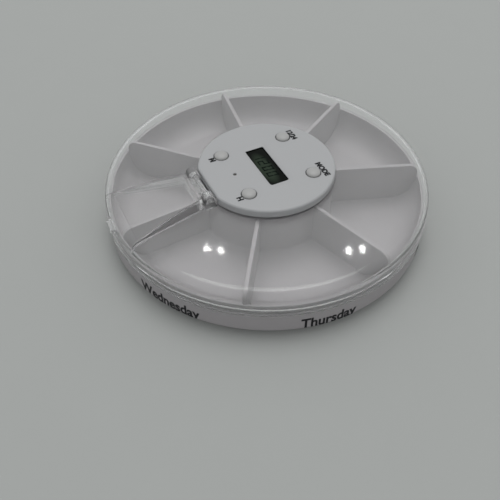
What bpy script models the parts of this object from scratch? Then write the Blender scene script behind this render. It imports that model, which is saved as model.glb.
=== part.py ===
"""Round seven-day pill dispenser with a digital reminder timer.

Sizes are in millimetres here and become metres when a mesh is made.
The origin is the centre of the base, +Z is up and the flap points to -Y.
"""
import bmesh
import bpy
from math import asin, cos, degrees, pi, radians, sin
from mathutils import Matrix, Vector

MM = 0.001

# Fits shared by several pieces.
GAP = 0.3                    # standing clearance between neighbouring pieces
WALL = 1.3                   # wall of the clear cover

# Tray.
BAND_TOP = 11.4              # ledge under the cover's skirt
FOOT_INSET = 3.0             # the band slopes in by this towards the surface it stands on
FOOT_RISE = 3.4              # height where that slope begins
FOOT_WALL = 1.6
BAND_WALL = 2.2
RIM_TOP = 14.0               # spigot that the cover snaps over
WALL_TOP = 15.9              # compartment wall that stands up inside the cover
WALL_STEP = 0.2              # it stands in from the spigot by this
RIM_WALL = 1.1
FLOOR_TOP = 3.9
FLOOR_THICKNESS = 1.8
SCOOP_RADIUS = 10.0          # curve between floor and rim
HUB_RADIUS = 26.8
HUB_WALL = 1.2
COMPARTMENTS = 7
FIRST_DIVIDER = -33.8        # degrees from +X
DIVIDER_THICKNESS = 1.6
DIVIDER_DROP = 0.4           # dividers stop this far under the cover
DIVIDER_CORNER = 4.0

# Cover.
COVER_RADIUS = 65.0          # skirt
COVER_STEP = 0.5             # the side wall stands in from the skirt by this
COVER_TOP = 22.4
SKIRT_TOP = 15.2
SHOULDER_RADIUS = 4.0
COLLAR_WALL = 0.9
COLLAR_DEPTH = 4.1           # below the cover's underside
BEAD_DEPTH = 0.5
BEAD_HEIGHT = 0.5

# Timer module.
TIMER_STAND = 3.6            # timer's top above the cover's top
FLANGE_OVERHANG = 0.5        # flange stands out past the tray's hub
FLANGE_HEIGHT = 3.2
FLANGE_WEB = 1.0
FLANGE_POCKET_STEP = 1.9     # the hollow inside the flange is wider than the case's bore
PLATE = 1.2                  # front plate
CASE_WALL = 1.3
CASE_SPLIT = 13.3            # lower edge of the front case
MODULE_BOTTOM = 9.0
BACK_FLOOR = 1.4
LIP_WALL = 1.2
LIP_HEIGHT = 1.6

# Display.
WINDOW_X = 11.5              # half sizes
WINDOW_Y = 4.0
DISH_X = 14.9
DISH_Y = 6.0
DISH_DEPTH = 0.5
GLASS_X = 13.0
GLASS_Y = 6.5
GLASS_THICKNESS = 1.6
GLASS_SEAT = 0.9             # underside of the plate's pocket, below the timer's top
ZEBRA_WIDTH = 1.6

# Buttons.
BUTTON_X = 12.7
BUTTON_Y = 14.0
BUTTON_RADIUS = 2.75
BUTTON_FLANGE = 3.35
BUTTON_FLANGE_HEIGHT = 0.7
BUTTON_RISE = 1.2
BUTTON_LAND = 0.1            # straight part of the cap above the plate
SWITCH_SIZE = 4.2
SWITCH_HEIGHT = 2.0
PLUNGER_RADIUS = 0.9
PLUNGER_HEIGHT = 1.6

# Circuit board and what it carries.
BOARD_MARGIN = 1.7           # ring of room around the board inside the case
BOARD_DEPTH = 5.7            # board's top face below the timer's top
BOARD_THICKNESS = 1.6
BOARD_SCREW_X = 18.2
BOARD_BOSS = 2.2
SCREW_RING = 18.6            # case screws stand on this radius
SCREW_ANGLES = (90.0, 205.0, 335.0)
COLUMN_RADIUS = 2.4
POST_RADIUS = 2.8
SCREW_SHANK = 0.8
SCREW_HEAD = 1.8
SCREW_HEAD_HEIGHT = 1.2
BUZZER_Y = -13.9
BUZZER_RADIUS = 6.2
BUZZER_PLATE = 0.4
CERAMIC_RADIUS = 4.5
CERAMIC_PLATE = 0.3
SOUND_HOLE = 0.7
STRIP = 0.3                  # spring strip of the battery contacts
STRIP_WIDTH = 3.0

# Battery and its door.
CELL_RADIUS = 10.0
CELL_HEIGHT = 3.2
CELL_FIT = 0.5
DOOR_RADIUS = 11.1
DOOR_THICKNESS = 1.7
DOOR_BOSS_RADIUS = 9.8
DOOR_BOSS_HEIGHT = 0.8
LUG_RADIUS = 12.3
LUG_HALF_ANGLE = 12.0
DOOR_TURN = 35.0
NOTCH_FIT = 3.0              # degrees of play at each side of a lug
COIN_SLOT_LENGTH = 10.0
COIN_SLOT_WIDTH = 1.6
COIN_SLOT_DEPTH = 0.9
SLOT_RISE = 0.8              # contact slot's lower edge above the cell's underside
SLOT_FIT = 0.9

# Flap.
FLAP_INNER_STEP = 3.0        # flap's plate begins this far beyond the hinge axis
FLAP_SHOULDER = 4.5          # where its crown meets the shoulder, in from the side wall
FLAP_INNER_X = 8.4           # half widths
FLAP_OUTER_X = 14.9
FLAP_FIT = 0.4
FLAP_PLATE = 1.2
FLAP_WALL = 1.1
FLAP_RISE = 4.2              # the flap's top stands above the cover by this at the hinge
FLAP_END_DROP = 3.2          # lower edge of the flap's outer end, below the cover's top
TAB_X = 3.2
TAB_REACH = 1.5
TAB_THICKNESS = 1.3
AXIS_STEP = 2.7              # hinge axis beyond the flange's straight side
AXIS_RISE = 2.6              # hinge axis above the cover's top
BARREL_RADIUS = 1.2
BARREL_X = 4.8
EAR_LENGTH = 5.0
EAR_RADIUS = 2.2
PIN_RADIUS = 0.65
PIN_LENGTH = 2.2

RING_STEPS = 60
CASE_STEPS = 48
ROUND_STEPS = 24
FINE_STEPS = 16

# Sizes that follow from the ones above.
TRAY_RADIUS = COVER_RADIUS - COVER_STEP
TIMER_TOP = COVER_TOP + TIMER_STAND
FLAT_Y = -(HUB_RADIUS - HUB_WALL)            # straight side of the flange, beside the hinge
FLANGE_RADIUS = HUB_RADIUS + FLANGE_OVERHANG
AXIS_Y = FLAT_Y - AXIS_STEP
AXIS_Z = COVER_TOP + AXIS_RISE
FLAP_INNER_Y = AXIS_Y - FLAP_INNER_STEP
FLAP_OUTER_Y = -(COVER_RADIUS - COVER_STEP - FLAP_SHOULDER)
FLAP_END_Z = COVER_TOP - FLAP_END_DROP
BOARD_TOP = TIMER_TOP - BOARD_DEPTH
COVER_UNDER = COVER_TOP - WALL
DIVIDER_TOP = COVER_UNDER - DIVIDER_DROP
SIDE_RADIUS = COVER_RADIUS - COVER_STEP
RIM_RADIUS = SIDE_RADIUS - WALL
PLATE_UNDER = TIMER_TOP - PLATE
FLANGE_BOTTOM = TIMER_TOP - FLANGE_HEIGHT
HUB_BORE = HUB_RADIUS - HUB_WALL
COLLAR_RADIUS = HUB_BORE - GAP
COLLAR_BORE = COLLAR_RADIUS - COLLAR_WALL
CASE_RADIUS = COLLAR_BORE - 0.4
CASE_BORE = CASE_RADIUS - CASE_WALL
FLANGE_POCKET = CASE_BORE + FLANGE_POCKET_STEP
BOARD_RADIUS = CASE_BORE - BOARD_MARGIN
LIP_RADIUS = CASE_BORE - GAP
BACK_TOP = CASE_SPLIT - GAP
BACK_INNER = MODULE_BOTTOM + BACK_FLOOR
BOARD_UNDER = BOARD_TOP - BOARD_THICKNESS
BEAD_MIDDLE = (BAND_TOP + RIM_TOP) / 2
BEAD_LOW = BEAD_MIDDLE - BEAD_HEIGHT / 2
BEAD_HIGH = BEAD_MIDDLE + BEAD_HEIGHT / 2
GLASS_TOP = TIMER_TOP - GLASS_SEAT - 0.25
GLASS_UNDER = GLASS_TOP - GLASS_THICKNESS
DOOR_TOP = MODULE_BOTTOM + DOOR_THICKNESS + DOOR_BOSS_HEIGHT
CELL_BOTTOM = DOOR_TOP + GAP
CELL_TOP = CELL_BOTTOM + CELL_HEIGHT
BUTTONS = {
    "button_12_24": (-BUTTON_X, BUTTON_Y),
    "button_mode": (BUTTON_X, BUTTON_Y),
    "button_minute": (-BUTTON_X, -BUTTON_Y),
    "button_hour": (BUTTON_X, -BUTTON_Y),
}


def clear_scene():
    for old in list(bpy.data.objects):
        bpy.data.objects.remove(old, do_unlink=True)


def material(name, colour, roughness=0.4, metallic=0.0, transmission=0.0):
    found = bpy.data.materials.get(name)
    if found:
        return found
    made = bpy.data.materials.new(name)
    made.use_nodes = True
    shader = made.node_tree.nodes["Principled BSDF"]
    shader.inputs["Base Color"].default_value = (*colour, 1.0)
    shader.inputs["Roughness"].default_value = roughness
    shader.inputs["Metallic"].default_value = metallic
    shader.inputs["Transmission Weight"].default_value = transmission
    return made


def place(name, mesh_builder, finish=None, smooth=True):
    """Turn a bmesh in millimetres into an object in metres."""
    bmesh.ops.remove_doubles(mesh_builder, verts=mesh_builder.verts, dist=0.001)
    bmesh.ops.recalc_face_normals(mesh_builder, faces=mesh_builder.faces)
    bmesh.ops.scale(mesh_builder, vec=(MM, MM, MM), verts=mesh_builder.verts)
    mesh = bpy.data.meshes.new(name)
    mesh_builder.to_mesh(mesh)
    mesh_builder.free()
    if smooth:
        mesh.shade_smooth()
        mesh.set_sharp_from_angle(angle=radians(35))
    made = bpy.data.objects.new(name, mesh)
    bpy.context.scene.collection.objects.link(made)
    if finish:
        made.data.materials.append(finish)
    return made


def set_origin(made, point):
    """Move the object's origin to a point in millimetres without moving its shape."""
    target = Vector(point) * MM
    made.data.transform(Matrix.Translation(-target))
    made.location = target


def turned(profile, steps, centre=(0.0, 0.0), closed=True):
    """Spin an outline of (radius, height) points about a vertical line."""
    shape = bmesh.new()
    verts = [shape.verts.new((radius, 0.0, height)) for radius, height in profile]
    edges = [shape.edges.new(pair) for pair in zip(verts, verts[1:])]
    if closed:
        edges.append(shape.edges.new((verts[-1], verts[0])))
    bmesh.ops.spin(
        shape,
        geom=verts + edges,
        cent=(0.0, 0.0, 0.0),
        axis=(0.0, 0.0, 1.0),
        angle=2 * pi,
        steps=steps,
        use_merge=True,
    )
    bmesh.ops.translate(shape, vec=(*centre, 0.0), verts=shape.verts)
    return shape


def add_shape(target, shape):
    """Copy one bmesh into another and free it."""
    mesh = bpy.data.meshes.new("scratch")
    shape.to_mesh(mesh)
    shape.free()
    target.from_mesh(mesh)
    bpy.data.meshes.remove(mesh)


def rod(radius, low, high, centre=(0.0, 0.0), steps=FINE_STEPS):
    """Upright solid cylinder."""
    return turned([(0.0, low), (radius, low), (radius, high), (0.0, high)], steps, centre, closed=False)


def block(low, high):
    shape = bmesh.new()
    bmesh.ops.create_cube(shape, size=1.0)
    size = [b - a for a, b in zip(low, high)]
    middle = [(a + b) / 2 for a, b in zip(low, high)]
    bmesh.ops.scale(shape, vec=size, verts=shape.verts)
    bmesh.ops.translate(shape, vec=middle, verts=shape.verts)
    return shape


def prism(outline, depth):
    """Extrude a closed outline of 3-D points along a vector."""
    shape = bmesh.new()
    face = shape.faces.new([shape.verts.new(point) for point in outline])
    grown = bmesh.ops.extrude_face_region(shape, geom=[face])
    verts = [item for item in grown["geom"] if isinstance(item, bmesh.types.BMVert)]
    bmesh.ops.translate(shape, vec=depth, verts=verts)
    return shape


def together(*shapes):
    """One bmesh holding several solids that don't touch."""
    joined = bmesh.new()
    for shape in shapes:
        add_shape(joined, shape)
    return joined


def combine(target, name, shape, operation):
    """Join a tool shape to the target, or cut it away, with a Boolean."""
    tool = place(name, shape, smooth=False)
    tool.hide_render = True
    tool.display_type = "WIRE"
    step = target.modifiers.new(name, "BOOLEAN")
    step.operation = operation
    step.solver = "EXACT"
    step.object = tool
    return tool


def cut(target, name, shape):
    return combine(target, name, shape, "DIFFERENCE")


def join(target, name, shape):
    return combine(target, name, shape, "UNION")


def arc(centre, radius, start, end, steps):
    """Points of an arc in a profile plane, angles in degrees."""
    turn = [radians(start + (end - start) * i / steps) for i in range(steps + 1)]
    return [(centre[0] + radius * cos(a), centre[1] + radius * sin(a)) for a in turn]


def polar(radius, degrees):
    return radius * cos(radians(degrees)), radius * sin(radians(degrees))


def tray_profile():
    """Half section of the tray, from the underside's middle round to the floor's middle."""
    rim_inner = RIM_RADIUS - RIM_WALL
    scoop_centre = (rim_inner - SCOOP_RADIUS, FLOOR_TOP + SCOOP_RADIUS)
    under_radius = SCOOP_RADIUS + FLOOR_THICKNESS
    skin_inner = TRAY_RADIUS - BAND_WALL
    reach = (skin_inner - scoop_centre[0]) / under_radius
    under_end = -90.0 + degrees(asin(reach))
    groove_half = BEAD_HEIGHT / 2 + 0.35
    groove_radius = RIM_RADIUS - BEAD_DEPTH - 0.1
    under = [(0.0, FLOOR_TOP - FLOOR_THICKNESS)]
    under += arc(scoop_centre, under_radius, -90.0, under_end, 6)
    foot_radius = TRAY_RADIUS - FOOT_INSET
    foot = [(skin_inner, FOOT_RISE + 0.4), (foot_radius - FOOT_WALL, 0.0)]
    foot += [(foot_radius, 0.0), (TRAY_RADIUS, FOOT_RISE)]
    side = [(TRAY_RADIUS, BAND_TOP), (RIM_RADIUS, BAND_TOP)]
    groove = [
        (RIM_RADIUS, BEAD_MIDDLE - groove_half),
        (groove_radius, BEAD_MIDDLE - groove_half),
        (groove_radius, BEAD_MIDDLE + groove_half),
        (RIM_RADIUS, BEAD_MIDDLE + groove_half),
    ]
    wall_radius = RIM_RADIUS - WALL_STEP
    rim = [(RIM_RADIUS, RIM_TOP - 0.3), (wall_radius, RIM_TOP)]
    rim += [(wall_radius, WALL_TOP - 0.3), (wall_radius - 0.3, WALL_TOP), (rim_inner, WALL_TOP)]
    scoop = arc(scoop_centre, SCOOP_RADIUS, 0.0, -90.0, 8)
    hub = [
        (HUB_RADIUS, FLOOR_TOP),
        (HUB_RADIUS, DIVIDER_TOP + 0.1),
        (HUB_BORE, DIVIDER_TOP + 0.1),
        (HUB_BORE, FLOOR_TOP),
        (0.0, FLOOR_TOP),
    ]
    return under + foot + side + groove + rim + scoop + hub


def divider(angle):
    """One radial wall whose top corner follows the cover's shoulder."""
    outer = RIM_RADIUS - 0.8
    corner = (outer - DIVIDER_CORNER, DIVIDER_TOP - DIVIDER_CORNER)
    outline = [(HUB_BORE + HUB_WALL / 2, FLOOR_TOP - FLOOR_THICKNESS / 2)]
    outline += [(outer - SCOOP_RADIUS, FLOOR_TOP - FLOOR_THICKNESS / 2)]
    outline += arc((outer - SCOOP_RADIUS, FLOOR_TOP + SCOOP_RADIUS), SCOOP_RADIUS, -75.0, 0.0, 5)
    outline += arc(corner, DIVIDER_CORNER, 0.0, 90.0, 5)
    outline += [(HUB_BORE + HUB_WALL / 2, DIVIDER_TOP)]
    half = DIVIDER_THICKNESS / 2
    wall = prism([(x, -half, z) for x, z in outline], (0.0, DIVIDER_THICKNESS, 0.0))
    spin = Matrix.Rotation(radians(angle), 3, "Z")
    bmesh.ops.rotate(wall, cent=(0, 0, 0), matrix=spin, verts=wall.verts)
    return wall


def make_tray(white):
    tray = place("tray", turned(tray_profile(), RING_STEPS, closed=False), white)
    angles = [FIRST_DIVIDER + 360.0 / COMPARTMENTS * i for i in range(COMPARTMENTS)]
    join(tray, "divider_walls", together(*[divider(angle) for angle in angles]))


def cover_profile():
    """Closed section of the clear cover: collar, top, shoulder, side wall and skirt."""
    centre = (SIDE_RADIUS - SHOULDER_RADIUS, COVER_TOP - SHOULDER_RADIUS)
    skirt_bottom = BAND_TOP + 0.4
    skirt_inner = RIM_RADIUS + GAP
    side_inner = SIDE_RADIUS - WALL
    inner_step = RIM_TOP + 0.4
    bead_tip = skirt_inner - BEAD_DEPTH
    section = [(COLLAR_BORE, COVER_UNDER - COLLAR_DEPTH), (COLLAR_BORE, COVER_TOP)]
    section += arc(centre, SHOULDER_RADIUS, 90.0, 0.0, 6)
    section += [(SIDE_RADIUS, SKIRT_TOP), (COVER_RADIUS, SKIRT_TOP - 0.3), (COVER_RADIUS, skirt_bottom)]
    section += [(skirt_inner, skirt_bottom), (skirt_inner, BEAD_LOW)]
    section += [(bead_tip, BEAD_LOW + 0.1), (bead_tip, BEAD_HIGH - 0.1)]
    section += [(skirt_inner, BEAD_HIGH), (skirt_inner, inner_step), (side_inner, inner_step + 0.3)]
    section += arc(centre, SHOULDER_RADIUS - WALL, 0.0, 90.0, 6)
    section += [(COLLAR_RADIUS, COVER_UNDER), (COLLAR_RADIUS, COVER_UNDER - COLLAR_DEPTH)]
    return section


def flap_outline(grow, reach):
    """Plan of the flap, or of its opening when grow is positive."""
    slope = (FLAP_OUTER_X - FLAP_INNER_X) / (FLAP_INNER_Y - FLAP_OUTER_Y)
    inner_y = FLAP_INNER_Y + grow
    inner_x = FLAP_INNER_X + grow - slope * grow
    outer_x = inner_x + slope * (inner_y + reach)
    return [(-inner_x, inner_y), (inner_x, inner_y), (outer_x, -reach), (-outer_x, -reach)]


def make_cover(clear):
    cover = place("cover", turned(cover_profile(), RING_STEPS), clear)
    plan = flap_outline(FLAP_FIT, COVER_RADIUS + 5.0)
    opening = prism([(x, y, FLAP_END_Z - FLAP_FIT) for x, y in plan], (0.0, 0.0, 10.0))
    cut(cover, "flap_opening", opening)
    ears = []
    for side in (-1, 1):
        near = side * (BARREL_X + FLAP_FIT)
        ears.append(ear(near, side * EAR_LENGTH))
    join(cover, "hinge_ears", together(*ears))
    holes = []
    for side in (-1, 1):
        start = side * (BARREL_X + FLAP_FIT - 0.5)
        holes.append(cross_rod(PIN_RADIUS + GAP, start, side * (PIN_LENGTH + 1.0)))
    cut(cover, "pin_holes", together(*holes))


def ear(start_x, length):
    """Round-topped block that carries one hinge pin."""
    outline = [(start_x, AXIS_Y - EAR_RADIUS, COVER_TOP - WALL / 2)]
    for y, z in arc((AXIS_Y, AXIS_Z), EAR_RADIUS, 180.0, 0.0, 10):
        outline.append((start_x, y, z))
    outline.append((start_x, AXIS_Y + EAR_RADIUS, COVER_TOP - WALL / 2))
    return prism(outline, (length, 0.0, 0.0))


def cross_rod(radius, start_x, length, steps=16):
    """Solid cylinder along X, centred on the hinge axis."""
    shape = rod(radius, 0.0, abs(length), steps=steps)
    turn = Matrix.Rotation(radians(90.0 if length > 0 else -90.0), 3, "Y")
    bmesh.ops.rotate(shape, cent=(0, 0, 0), matrix=turn, verts=shape.verts)
    bmesh.ops.translate(shape, vec=(start_x, AXIS_Y, AXIS_Z), verts=shape.verts)
    return shape


def flap_top(y):
    """Height of the flap's crown along its length, before the shoulder."""
    share = (y - FLAP_OUTER_Y) / (FLAP_INNER_Y - FLAP_OUTER_Y)
    return COVER_TOP + FLAP_RISE * (1.0 - (1.0 - share) ** 2)


def turned_wedge(inset, low):
    """Full round of the cover's outer form with a raised crown over the flap."""
    centre = (SIDE_RADIUS - SHOULDER_RADIUS, COVER_TOP - SHOULDER_RADIUS)
    profile = [(0.0, low), (SIDE_RADIUS - inset, low)]
    profile += arc(centre, SHOULDER_RADIUS - inset, 0.0, 90.0, 6)
    stations = [FLAP_OUTER_Y + (FLAP_INNER_Y - FLAP_OUTER_Y) * i / 5 for i in range(1, 6)]
    profile += [(-y, flap_top(y) - inset) for y in stations]
    profile += [(0.0, flap_top(FLAP_INNER_Y) - inset)]
    return turned(profile, RING_STEPS, closed=False)


def make_flap(clear):
    """Shell with a crowned top, side walls, a barrel, two pins and a thumb tab."""
    plan = flap_outline(0.0, COVER_RADIUS + 2.0)
    depth = (0.0, 0.0, COVER_TOP + 8.0 - FLAP_END_Z)
    flap = place("flap", prism([(x, y, FLAP_END_Z) for x, y in plan], depth), clear)
    combine(flap, "flap_form", turned_wedge(0.0, FLAP_END_Z - 5.0), "INTERSECT")
    inner_plan = flap_outline(-FLAP_WALL, -FLAP_OUTER_Y - 1.0)
    low = FLAP_END_Z - 1.0
    hollow = prism([(x, y, low) for x, y in inner_plan], (0.0, 0.0, COVER_TOP + 8.0 - low))
    room = cut(flap, "flap_hollow", hollow)
    combine(room, "flap_hollow_form", turned_wedge(FLAP_PLATE, FLAP_END_Z - 5.0), "INTERSECT")
    cut(flap, "flap_underside", turned_ring_below())
    barrel = together(cross_rod(BARREL_RADIUS, -BARREL_X, 2 * BARREL_X, ROUND_STEPS // 2))
    join(flap, "flap_barrel", barrel)
    web_top = flap_top(FLAP_INNER_Y)
    web = block(
        (-BARREL_X + 0.15, FLAP_INNER_Y - FLAP_WALL / 2, web_top - FLAP_PLATE),
        (BARREL_X - 0.15, AXIS_Y, web_top - 0.05),
    )
    join(flap, "flap_web", web)
    pin_reach = FLAP_FIT + PIN_LENGTH
    pins = together(
        cross_rod(PIN_RADIUS, BARREL_X - 1.0, pin_reach + 1.0),
        cross_rod(PIN_RADIUS, -BARREL_X + 1.0, -pin_reach - 1.0),
    )
    join(flap, "flap_pins", pins)
    tab_outer = -(SIDE_RADIUS + TAB_REACH)
    tab_low = FLAP_END_Z + 0.05
    tab = block((-TAB_X, tab_outer, tab_low), (TAB_X, -SIDE_RADIUS + 1.0, tab_low + TAB_THICKNESS))
    join(flap, "flap_tab", tab)
    set_origin(flap, (0.0, AXIS_Y, AXIS_Z))


def turned_ring_below():
    """Everything under the cover's inner face, so the flap clears the dividers."""
    centre = (SIDE_RADIUS - SHOULDER_RADIUS, COVER_TOP - SHOULDER_RADIUS)
    profile = [(0.0, FLAP_END_Z - 3.0), (SIDE_RADIUS - WALL, FLAP_END_Z - 3.0)]
    profile += arc(centre, SHOULDER_RADIUS - WALL, 0.0, 90.0, 6)
    profile += [(0.0, COVER_UNDER)]
    return turned(profile, RING_STEPS, closed=False)


def front_case_profile():
    """Section of the timer's front case: plate, rounded flange and skirt."""
    edge = 0.8
    rounded = arc((FLANGE_RADIUS - edge, TIMER_TOP - edge), edge, 90.0, 0.0, 4)
    return (
        [(0.0, TIMER_TOP)]
        + rounded
        + [(FLANGE_RADIUS, FLANGE_BOTTOM), (CASE_RADIUS, FLANGE_BOTTOM), (CASE_RADIUS, CASE_SPLIT)]
        + [(CASE_BORE, CASE_SPLIT), (CASE_BORE, FLANGE_BOTTOM + FLANGE_WEB)]
        + [(FLANGE_POCKET, FLANGE_BOTTOM + FLANGE_WEB), (FLANGE_POCKET, PLATE_UNDER), (0.0, PLATE_UNDER)]
    )


def window_dish():
    """Sloping recess around the display window."""
    shape = bmesh.new()
    over = 0.4
    rise = (DISH_X - WINDOW_X) / DISH_DEPTH
    rise_y = (DISH_Y - WINDOW_Y) / DISH_DEPTH
    levels = [
        (WINDOW_X - 0.2 * rise, WINDOW_Y - 0.2 * rise_y, TIMER_TOP - DISH_DEPTH - 0.2),
        (DISH_X + over * rise, DISH_Y + over * rise_y, TIMER_TOP + over),
    ]
    loops = []
    for half_x, half_y, z in levels:
        corners = [(half_x, half_y), (-half_x, half_y), (-half_x, -half_y), (half_x, -half_y)]
        loops.append([shape.verts.new((x, y, z)) for x, y in corners])
    shape.faces.new(loops[0])
    shape.faces.new(loops[1])
    for i in range(4):
        j = (i + 1) % 4
        shape.faces.new((loops[0][i], loops[0][j], loops[1][j], loops[1][i]))
    return shape


def screw_points():
    return [polar(SCREW_RING, angle) for angle in SCREW_ANGLES]


def board_screw_points():
    return [(-BOARD_SCREW_X, 0.0), (BOARD_SCREW_X, 0.0)]


def make_front_case(white):
    case = place("timer_front_case", turned(front_case_profile(), CASE_STEPS, closed=False), white)
    beyond = FLANGE_RADIUS + 2.0
    low = FLANGE_BOTTOM - 1.0
    cut(case, "flange_flat", block((-beyond, -beyond, low), (beyond, FLAT_Y, TIMER_TOP + 1.0)))
    posts = [rod(COLUMN_RADIUS, BACK_TOP + LIP_HEIGHT + GAP, PLATE_UNDER + 0.2, p) for p in screw_points()]
    posts += [rod(BOARD_BOSS, BOARD_TOP + GAP, PLATE_UNDER + 0.2, p) for p in board_screw_points()]
    join(case, "screw_columns", together(*posts))
    hole = SCREW_SHANK + GAP
    bores = [rod(hole, BACK_TOP, BOARD_TOP + 0.2, p, 14) for p in screw_points()]
    bores += [rod(hole, BOARD_TOP, PLATE_UNDER - 1.0, p, 14) for p in board_screw_points()]
    cut(case, "screw_bores", together(*bores))
    cut(case, "window_dish", window_dish())
    through = block((-WINDOW_X, -WINDOW_Y, PLATE_UNDER - 2.0), (WINDOW_X, WINDOW_Y, TIMER_TOP + 1.0))
    cut(case, "window", through)
    seat_x = GLASS_X + GAP
    seat_y = GLASS_Y + GAP
    seat = block((-seat_x, -seat_y, PLATE_UNDER - 1.0), (seat_x, seat_y, TIMER_TOP - GLASS_SEAT))
    cut(case, "glass_seat", seat)
    openings = [
        rod(BUTTON_RADIUS + GAP, PLATE_UNDER - 1.0, TIMER_TOP + 1.0, p, ROUND_STEPS)
        for p in BUTTONS.values()
    ]
    openings.append(rod(SOUND_HOLE, PLATE_UNDER - 1.0, TIMER_TOP + 1.0, (0.0, BUZZER_Y), 14))
    cut(case, "button_holes", together(*openings))


def back_case_profile():
    """Closed section of the back case: floor, wall, lip and stepped battery ring."""
    hole = DOOR_RADIUS + GAP
    lip_inner = LIP_RADIUS - LIP_WALL
    ring_inner = CELL_RADIUS + CELL_FIT
    ring_outer = ring_inner + LIP_WALL
    well = LUG_RADIUS + CELL_FIT
    well_outer = well + LIP_WALL
    shelf = CELL_BOTTOM + 0.1
    return [
        (hole, MODULE_BOTTOM),
        (CASE_RADIUS - 0.6, MODULE_BOTTOM),
        (CASE_RADIUS, MODULE_BOTTOM + 0.6),
        (CASE_RADIUS, BACK_TOP),
        (LIP_RADIUS, BACK_TOP),
        (LIP_RADIUS, BACK_TOP + LIP_HEIGHT),
        (lip_inner, BACK_TOP + LIP_HEIGHT),
        (lip_inner, BACK_INNER),
        (well_outer, BACK_INNER),
        (well_outer, shelf + LIP_WALL),
        (ring_outer, shelf + LIP_WALL),
        (ring_outer, CELL_TOP + 0.2),
        (ring_inner, CELL_TOP + 0.2),
        (ring_inner, shelf),
        (well, shelf),
        (well, BACK_INNER),
        (hole, BACK_INNER),
    ]


def lug_sector(middle, half_angle_deg, inner, outer, low, high):
    """Short sector of a ring, for a bayonet lug or its notch."""
    angles = [middle - half_angle_deg, middle, middle + half_angle_deg]
    plan = [polar(outer, a) for a in angles] + [polar(inner, a) for a in reversed(angles)]
    return prism([(x, y, low) for x, y in plan], (0.0, 0.0, high - low))


def make_back_case(white):
    case = place("timer_back_case", turned(back_case_profile(), CASE_STEPS), white)
    posts = [rod(POST_RADIUS, BACK_INNER - 0.5, BACK_TOP + LIP_HEIGHT - 0.2, p) for p in screw_points()]
    join(case, "screw_posts", together(*posts))
    hole = SCREW_SHANK + GAP
    bores = [rod(hole, MODULE_BOTTOM - 1.0, CASE_SPLIT + 3.0, p, 14) for p in screw_points()]
    cut(case, "screw_clearance", together(*bores))
    seat = MODULE_BOTTOM + GAP + SCREW_HEAD_HEIGHT + GAP
    sinks = [rod(SCREW_HEAD + GAP, MODULE_BOTTOM - 1.0, seat, p) for p in screw_points()]
    cut(case, "screw_sinks", together(*sinks))
    release = [90.0 - DOOR_TURN, 270.0 - DOOR_TURN]
    half = LUG_HALF_ANGLE + NOTCH_FIT
    low = MODULE_BOTTOM - 1.0
    high = BACK_INNER + 0.5
    notch = [lug_sector(a, half, DOOR_RADIUS - 2.0, LUG_RADIUS + GAP, low, high) for a in release]
    cut(case, "door_notches", together(*notch))
    slot_low = CELL_BOTTOM + SLOT_RISE
    slot_y = STRIP_WIDTH / 2 + SLOT_FIT
    slot = block((CELL_RADIUS - 0.5, -slot_y, slot_low), (CELL_RADIUS + 2.6, slot_y, CELL_TOP + 1.0))
    cut(case, "contact_slot", slot)


def make_battery_door(white):
    low = MODULE_BOTTOM
    face = low + DOOR_THICKNESS
    profile = [(0.0, low), (DOOR_RADIUS, low), (DOOR_RADIUS, face)]
    profile += [(DOOR_BOSS_RADIUS, face), (DOOR_BOSS_RADIUS, DOOR_TOP), (0.0, DOOR_TOP)]
    door = place("battery_door", turned(profile, 48, closed=False), white)
    root = DOOR_BOSS_RADIUS - 1.0
    high = DOOR_TOP - 0.1
    lugs = [lug_sector(a, LUG_HALF_ANGLE, root, LUG_RADIUS, face, high) for a in (90.0, 270.0)]
    join(door, "door_lugs", together(*lugs))
    coin_x = COIN_SLOT_LENGTH / 2
    coin_y = COIN_SLOT_WIDTH / 2
    coin_slot = block((-coin_x, -coin_y, low - 1.0), (coin_x, coin_y, low + COIN_SLOT_DEPTH))
    cut(door, "coin_slot", coin_slot)


def make_cell(steel):
    edge = 0.3
    low = CELL_BOTTOM
    high = CELL_TOP
    profile = [(0.0, low), (CELL_RADIUS - edge, low), (CELL_RADIUS, low + edge)]
    profile += [(CELL_RADIUS, high - 0.5), (CELL_RADIUS - 1.0, high - 0.4)]
    profile += [(CELL_RADIUS - 1.2, high), (0.0, high)]
    place("battery_cell", turned(profile, 48, closed=False), steel)


def strip(path):
    """Spring strip of even thickness along a path of (x, z) points."""
    half = STRIP / 2
    left = []
    right = []
    for i, (x, z) in enumerate(path):
        before = Vector(path[max(i - 1, 0)])
        after = Vector(path[min(i + 1, len(path) - 1)])
        along = (after - before).normalized()
        left.append((x - along.y * half, z + along.x * half))
        right.append((x + along.y * half, z - along.x * half))
    outline = left + right[::-1]
    side = -STRIP_WIDTH / 2
    return prism([(x, side, z) for x, z in outline], (0.0, STRIP_WIDTH, 0.0))


def make_contacts(spring):
    pad = BOARD_UNDER - GAP - STRIP / 2
    touch = CELL_TOP + GAP + STRIP / 2
    arm = [(-7.5, pad), (-3.5, pad), (0.8, touch), (2.2, touch), (3.4, touch + 0.8)]
    place("contact_negative", strip(arm), spring, smooth=False)
    beside = CELL_RADIUS + CELL_FIT + STRIP / 2
    leg = [(15.5, pad), (beside + 0.8, pad), (beside, pad - 0.8), (beside, CELL_BOTTOM + 1.4)]
    place("contact_positive", strip(leg), spring, smooth=False)


def make_board(green):
    board = place("circuit_board", rod(BOARD_RADIUS, BOARD_UNDER, BOARD_TOP, steps=48), green)
    low = BOARD_UNDER - 1.0
    high = BOARD_TOP + 1.0
    holes = [rod(COLUMN_RADIUS + 0.4, low, high, p) for p in screw_points()]
    holes += [rod(SCREW_SHANK + 0.5, low, high, p, 14) for p in board_screw_points()]
    cut(board, "board_holes", together(*holes))


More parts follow.
